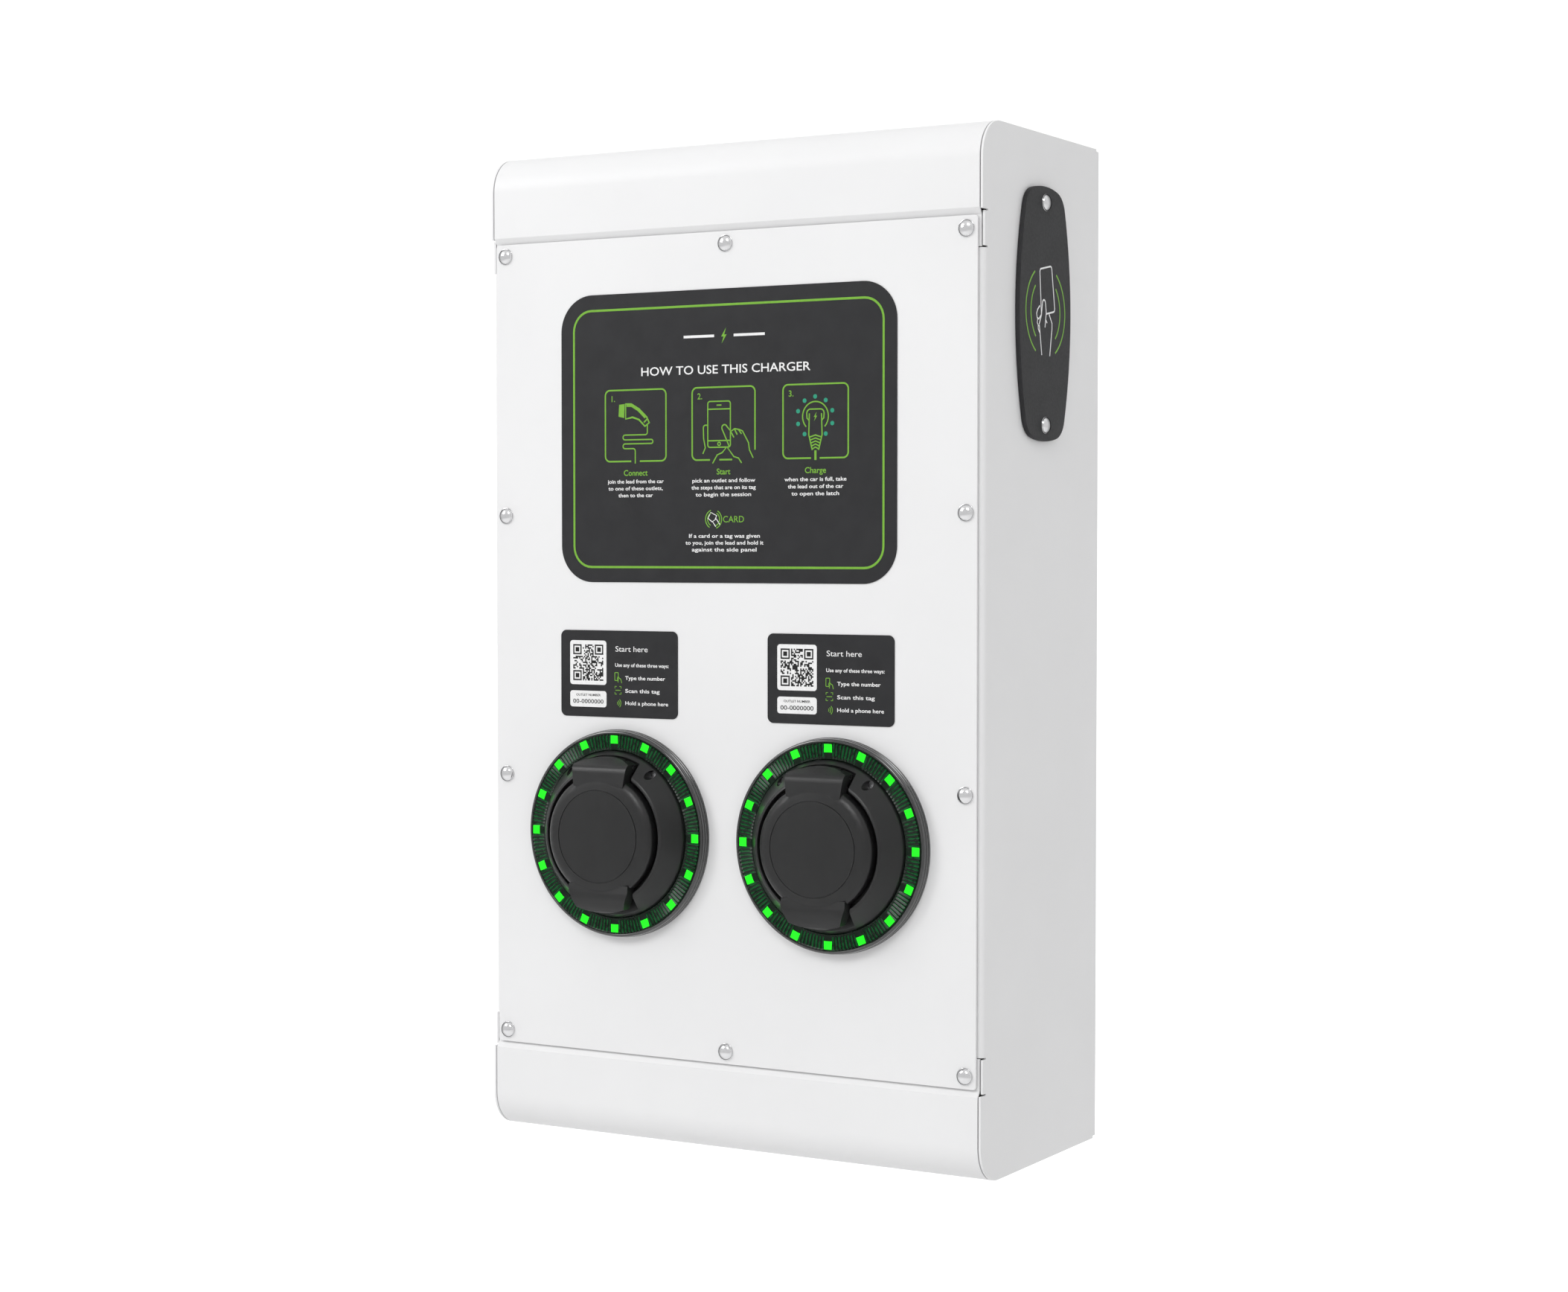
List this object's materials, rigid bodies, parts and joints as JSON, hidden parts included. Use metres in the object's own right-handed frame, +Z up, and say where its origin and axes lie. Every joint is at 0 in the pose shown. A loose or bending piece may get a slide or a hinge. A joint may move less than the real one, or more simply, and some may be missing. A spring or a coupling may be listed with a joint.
{
  "type": "wall-mounted charging unit",
  "caption": "Wall-mounted electric-vehicle charging unit: a curved white sheet-metal box with hinged-lid socket-outlets in lit rings, printed labels and a card-reader plate on its side.",
  "frame": {"origin": "centre of the flat rear face that lies on the wall", "axes": "+Z up along the height, +Y into the wall, +X to the right of someone facing the unit; the front faces -Y"},
  "size_m": [0.356, 0.1911, 0.644],
  "materials": {
    "white_powder_coat": "satin powder coat, fine orange peel",
    "galvanised_sheet": "zinc-coated sheet, satin",
    "gasket_foam": "closed-cell foam",
    "polished_screws": "polished stainless steel",
    "printed_label": "printed film, satin",
    "reader_plastic": "fine-grained, matt",
    "circuit_board": "solder mask, satin",
    "bezel_gloss_black": "gloss moulding with ribs",
    "led_green": "lit light-emitting diodes",
    "lens_smoked": "smoked clear moulding with fine flutes",
    "cowl_plastic": "fine-grained black moulding",
    "insert_plastic": "smooth black moulding",
    "contact_brass": "turned, plain",
    "pin_steel": "drawn wire and turned pins",
    "seal_rubber": "matt elastomer",
    "actuator_plastic": "moulded, matt",
    "device_plastic": "moulded, matt",
    "lever_plastic": "moulded, satin",
    "test_button_plastic": "moulded, gloss",
    "supply_case": "perforated sheet",
    "terminal_plastic": "moulded, matt",
    "gland_nylon": "moulded nylon",
    "wire_insulation": "extruded sleeve"
  },
  "bodies": {
    "housing": {"back_plate": "galvanised_sheet", "side_plate_left": "white_powder_coat", "side_plate_right": "white_powder_coat", "top_cap": "white_powder_coat", "bottom_cap": "white_powder_coat", "front_panel": "white_powder_coat", "panel_gasket": "gasket_foam", "panel_screws": "polished_screws", "panel_rivet_nuts": "galvanised_sheet", "instruction_label": "printed_label", "info_tag_left": "printed_label", "info_tag_right": "printed_label", "reader_plate": "reader_plastic", "reader_screws": "polished_screws", "reader_board": "circuit_board", "led_bezel_left": "bezel_gloss_black", "led_bezel_right": "bezel_gloss_black", "led_board_left": "circuit_board", "led_board_right": "circuit_board", "leds_left": "led_green", "leds_right": "led_green", "led_lens_left": "lens_smoked", "led_lens_right": "lens_smoked", "socket_cowl_left": "cowl_plastic", "socket_cowl_right": "cowl_plastic", "socket_insert_left": "insert_plastic", "socket_insert_right": "insert_plastic", "contact_block_left": "insert_plastic", "contact_block_right": "insert_plastic", "contact_tubes_left": "contact_brass", "contact_tubes_right": "contact_brass", "lid_pin_left": "pin_steel", "lid_pin_right": "pin_steel", "lid_spring_left": "pin_steel", "lid_spring_right": "pin_steel", "lock_actuators": "actuator_plastic", "socket_screws": "pin_steel", "gear_plate": "galvanised_sheet", "din_rail": "galvanised_sheet", "rcbo_left": "device_plastic", "rcbo_right": "device_plastic", "contactors": "device_plastic", "energy_meters": "device_plastic", "power_supply": "supply_case", "controller_board": "circuit_board", "terminal_block": "terminal_plastic", "earth_bar": "contact_brass", "cable_gland": "gland_nylon", "gland_nut": "gland_nylon", "wiring_loom": "wire_insulation"},
    "lid_left": {"socket_lid_left": "cowl_plastic", "lid_seal_left": "seal_rubber"},
    "lock_left": {"lock_pin_left": "pin_steel"},
    "toggle_left": {"rcbo_toggle_left": "lever_plastic"},
    "test_left": {"rcbo_test_left": "test_button_plastic"},
    "lid_right": {"socket_lid_right": "cowl_plastic", "lid_seal_right": "seal_rubber"},
    "lock_right": {"lock_pin_right": "pin_steel"},
    "toggle_right": {"rcbo_toggle_right": "lever_plastic"},
    "test_right": {"rcbo_test_right": "test_button_plastic"}
  },
  "joints": [
    {"name": "lid_left_hinge", "type": "hinge", "parent": "housing", "child": "lid_left", "pos_m": [-0.07725, -0.1795, -0.0738], "axis": [-1, 0, 0], "range_deg": [0, 105], "stiffness_Nm_per_rad": 0.03, "springref_deg": -34.38, "deforming": ["lid_spring_left"]},
    {"name": "lock_left_slide", "type": "slide", "parent": "housing", "child": "lock_left", "axis": [0, 0, -1], "range_m": [0, 0.007]},
    {"name": "toggle_left_hinge", "type": "hinge", "parent": "housing", "child": "toggle_left", "pos_m": [-0.0198, -0.0893, 0.146], "axis": [1, 0, 0], "range_deg": [0, 70]},
    {"name": "test_left_press", "type": "slide", "parent": "housing", "child": "test_left", "axis": [0, 1, 0], "range_m": [0, 0.0015], "stiffness_N_per_m": 300, "springref_m": -0.001},
    {"name": "lid_right_hinge", "type": "hinge", "parent": "housing", "child": "lid_right", "pos_m": [0.07595, -0.1795, -0.0738], "axis": [-1, 0, 0], "range_deg": [0, 105], "stiffness_Nm_per_rad": 0.03, "springref_deg": -34.38, "deforming": ["lid_spring_right"]},
    {"name": "lock_right_slide", "type": "slide", "parent": "housing", "child": "lock_right", "axis": [0, 0, -1], "range_m": [0, 0.007]},
    {"name": "toggle_right_hinge", "type": "hinge", "parent": "housing", "child": "toggle_right", "pos_m": [0.0198, -0.0893, 0.146], "axis": [1, 0, 0], "range_deg": [0, 70]},
    {"name": "test_right_press", "type": "slide", "parent": "housing", "child": "test_right", "axis": [0, 1, 0], "range_m": [0, 0.0015], "stiffness_N_per_m": 300, "springref_m": -0.001}
  ]
}
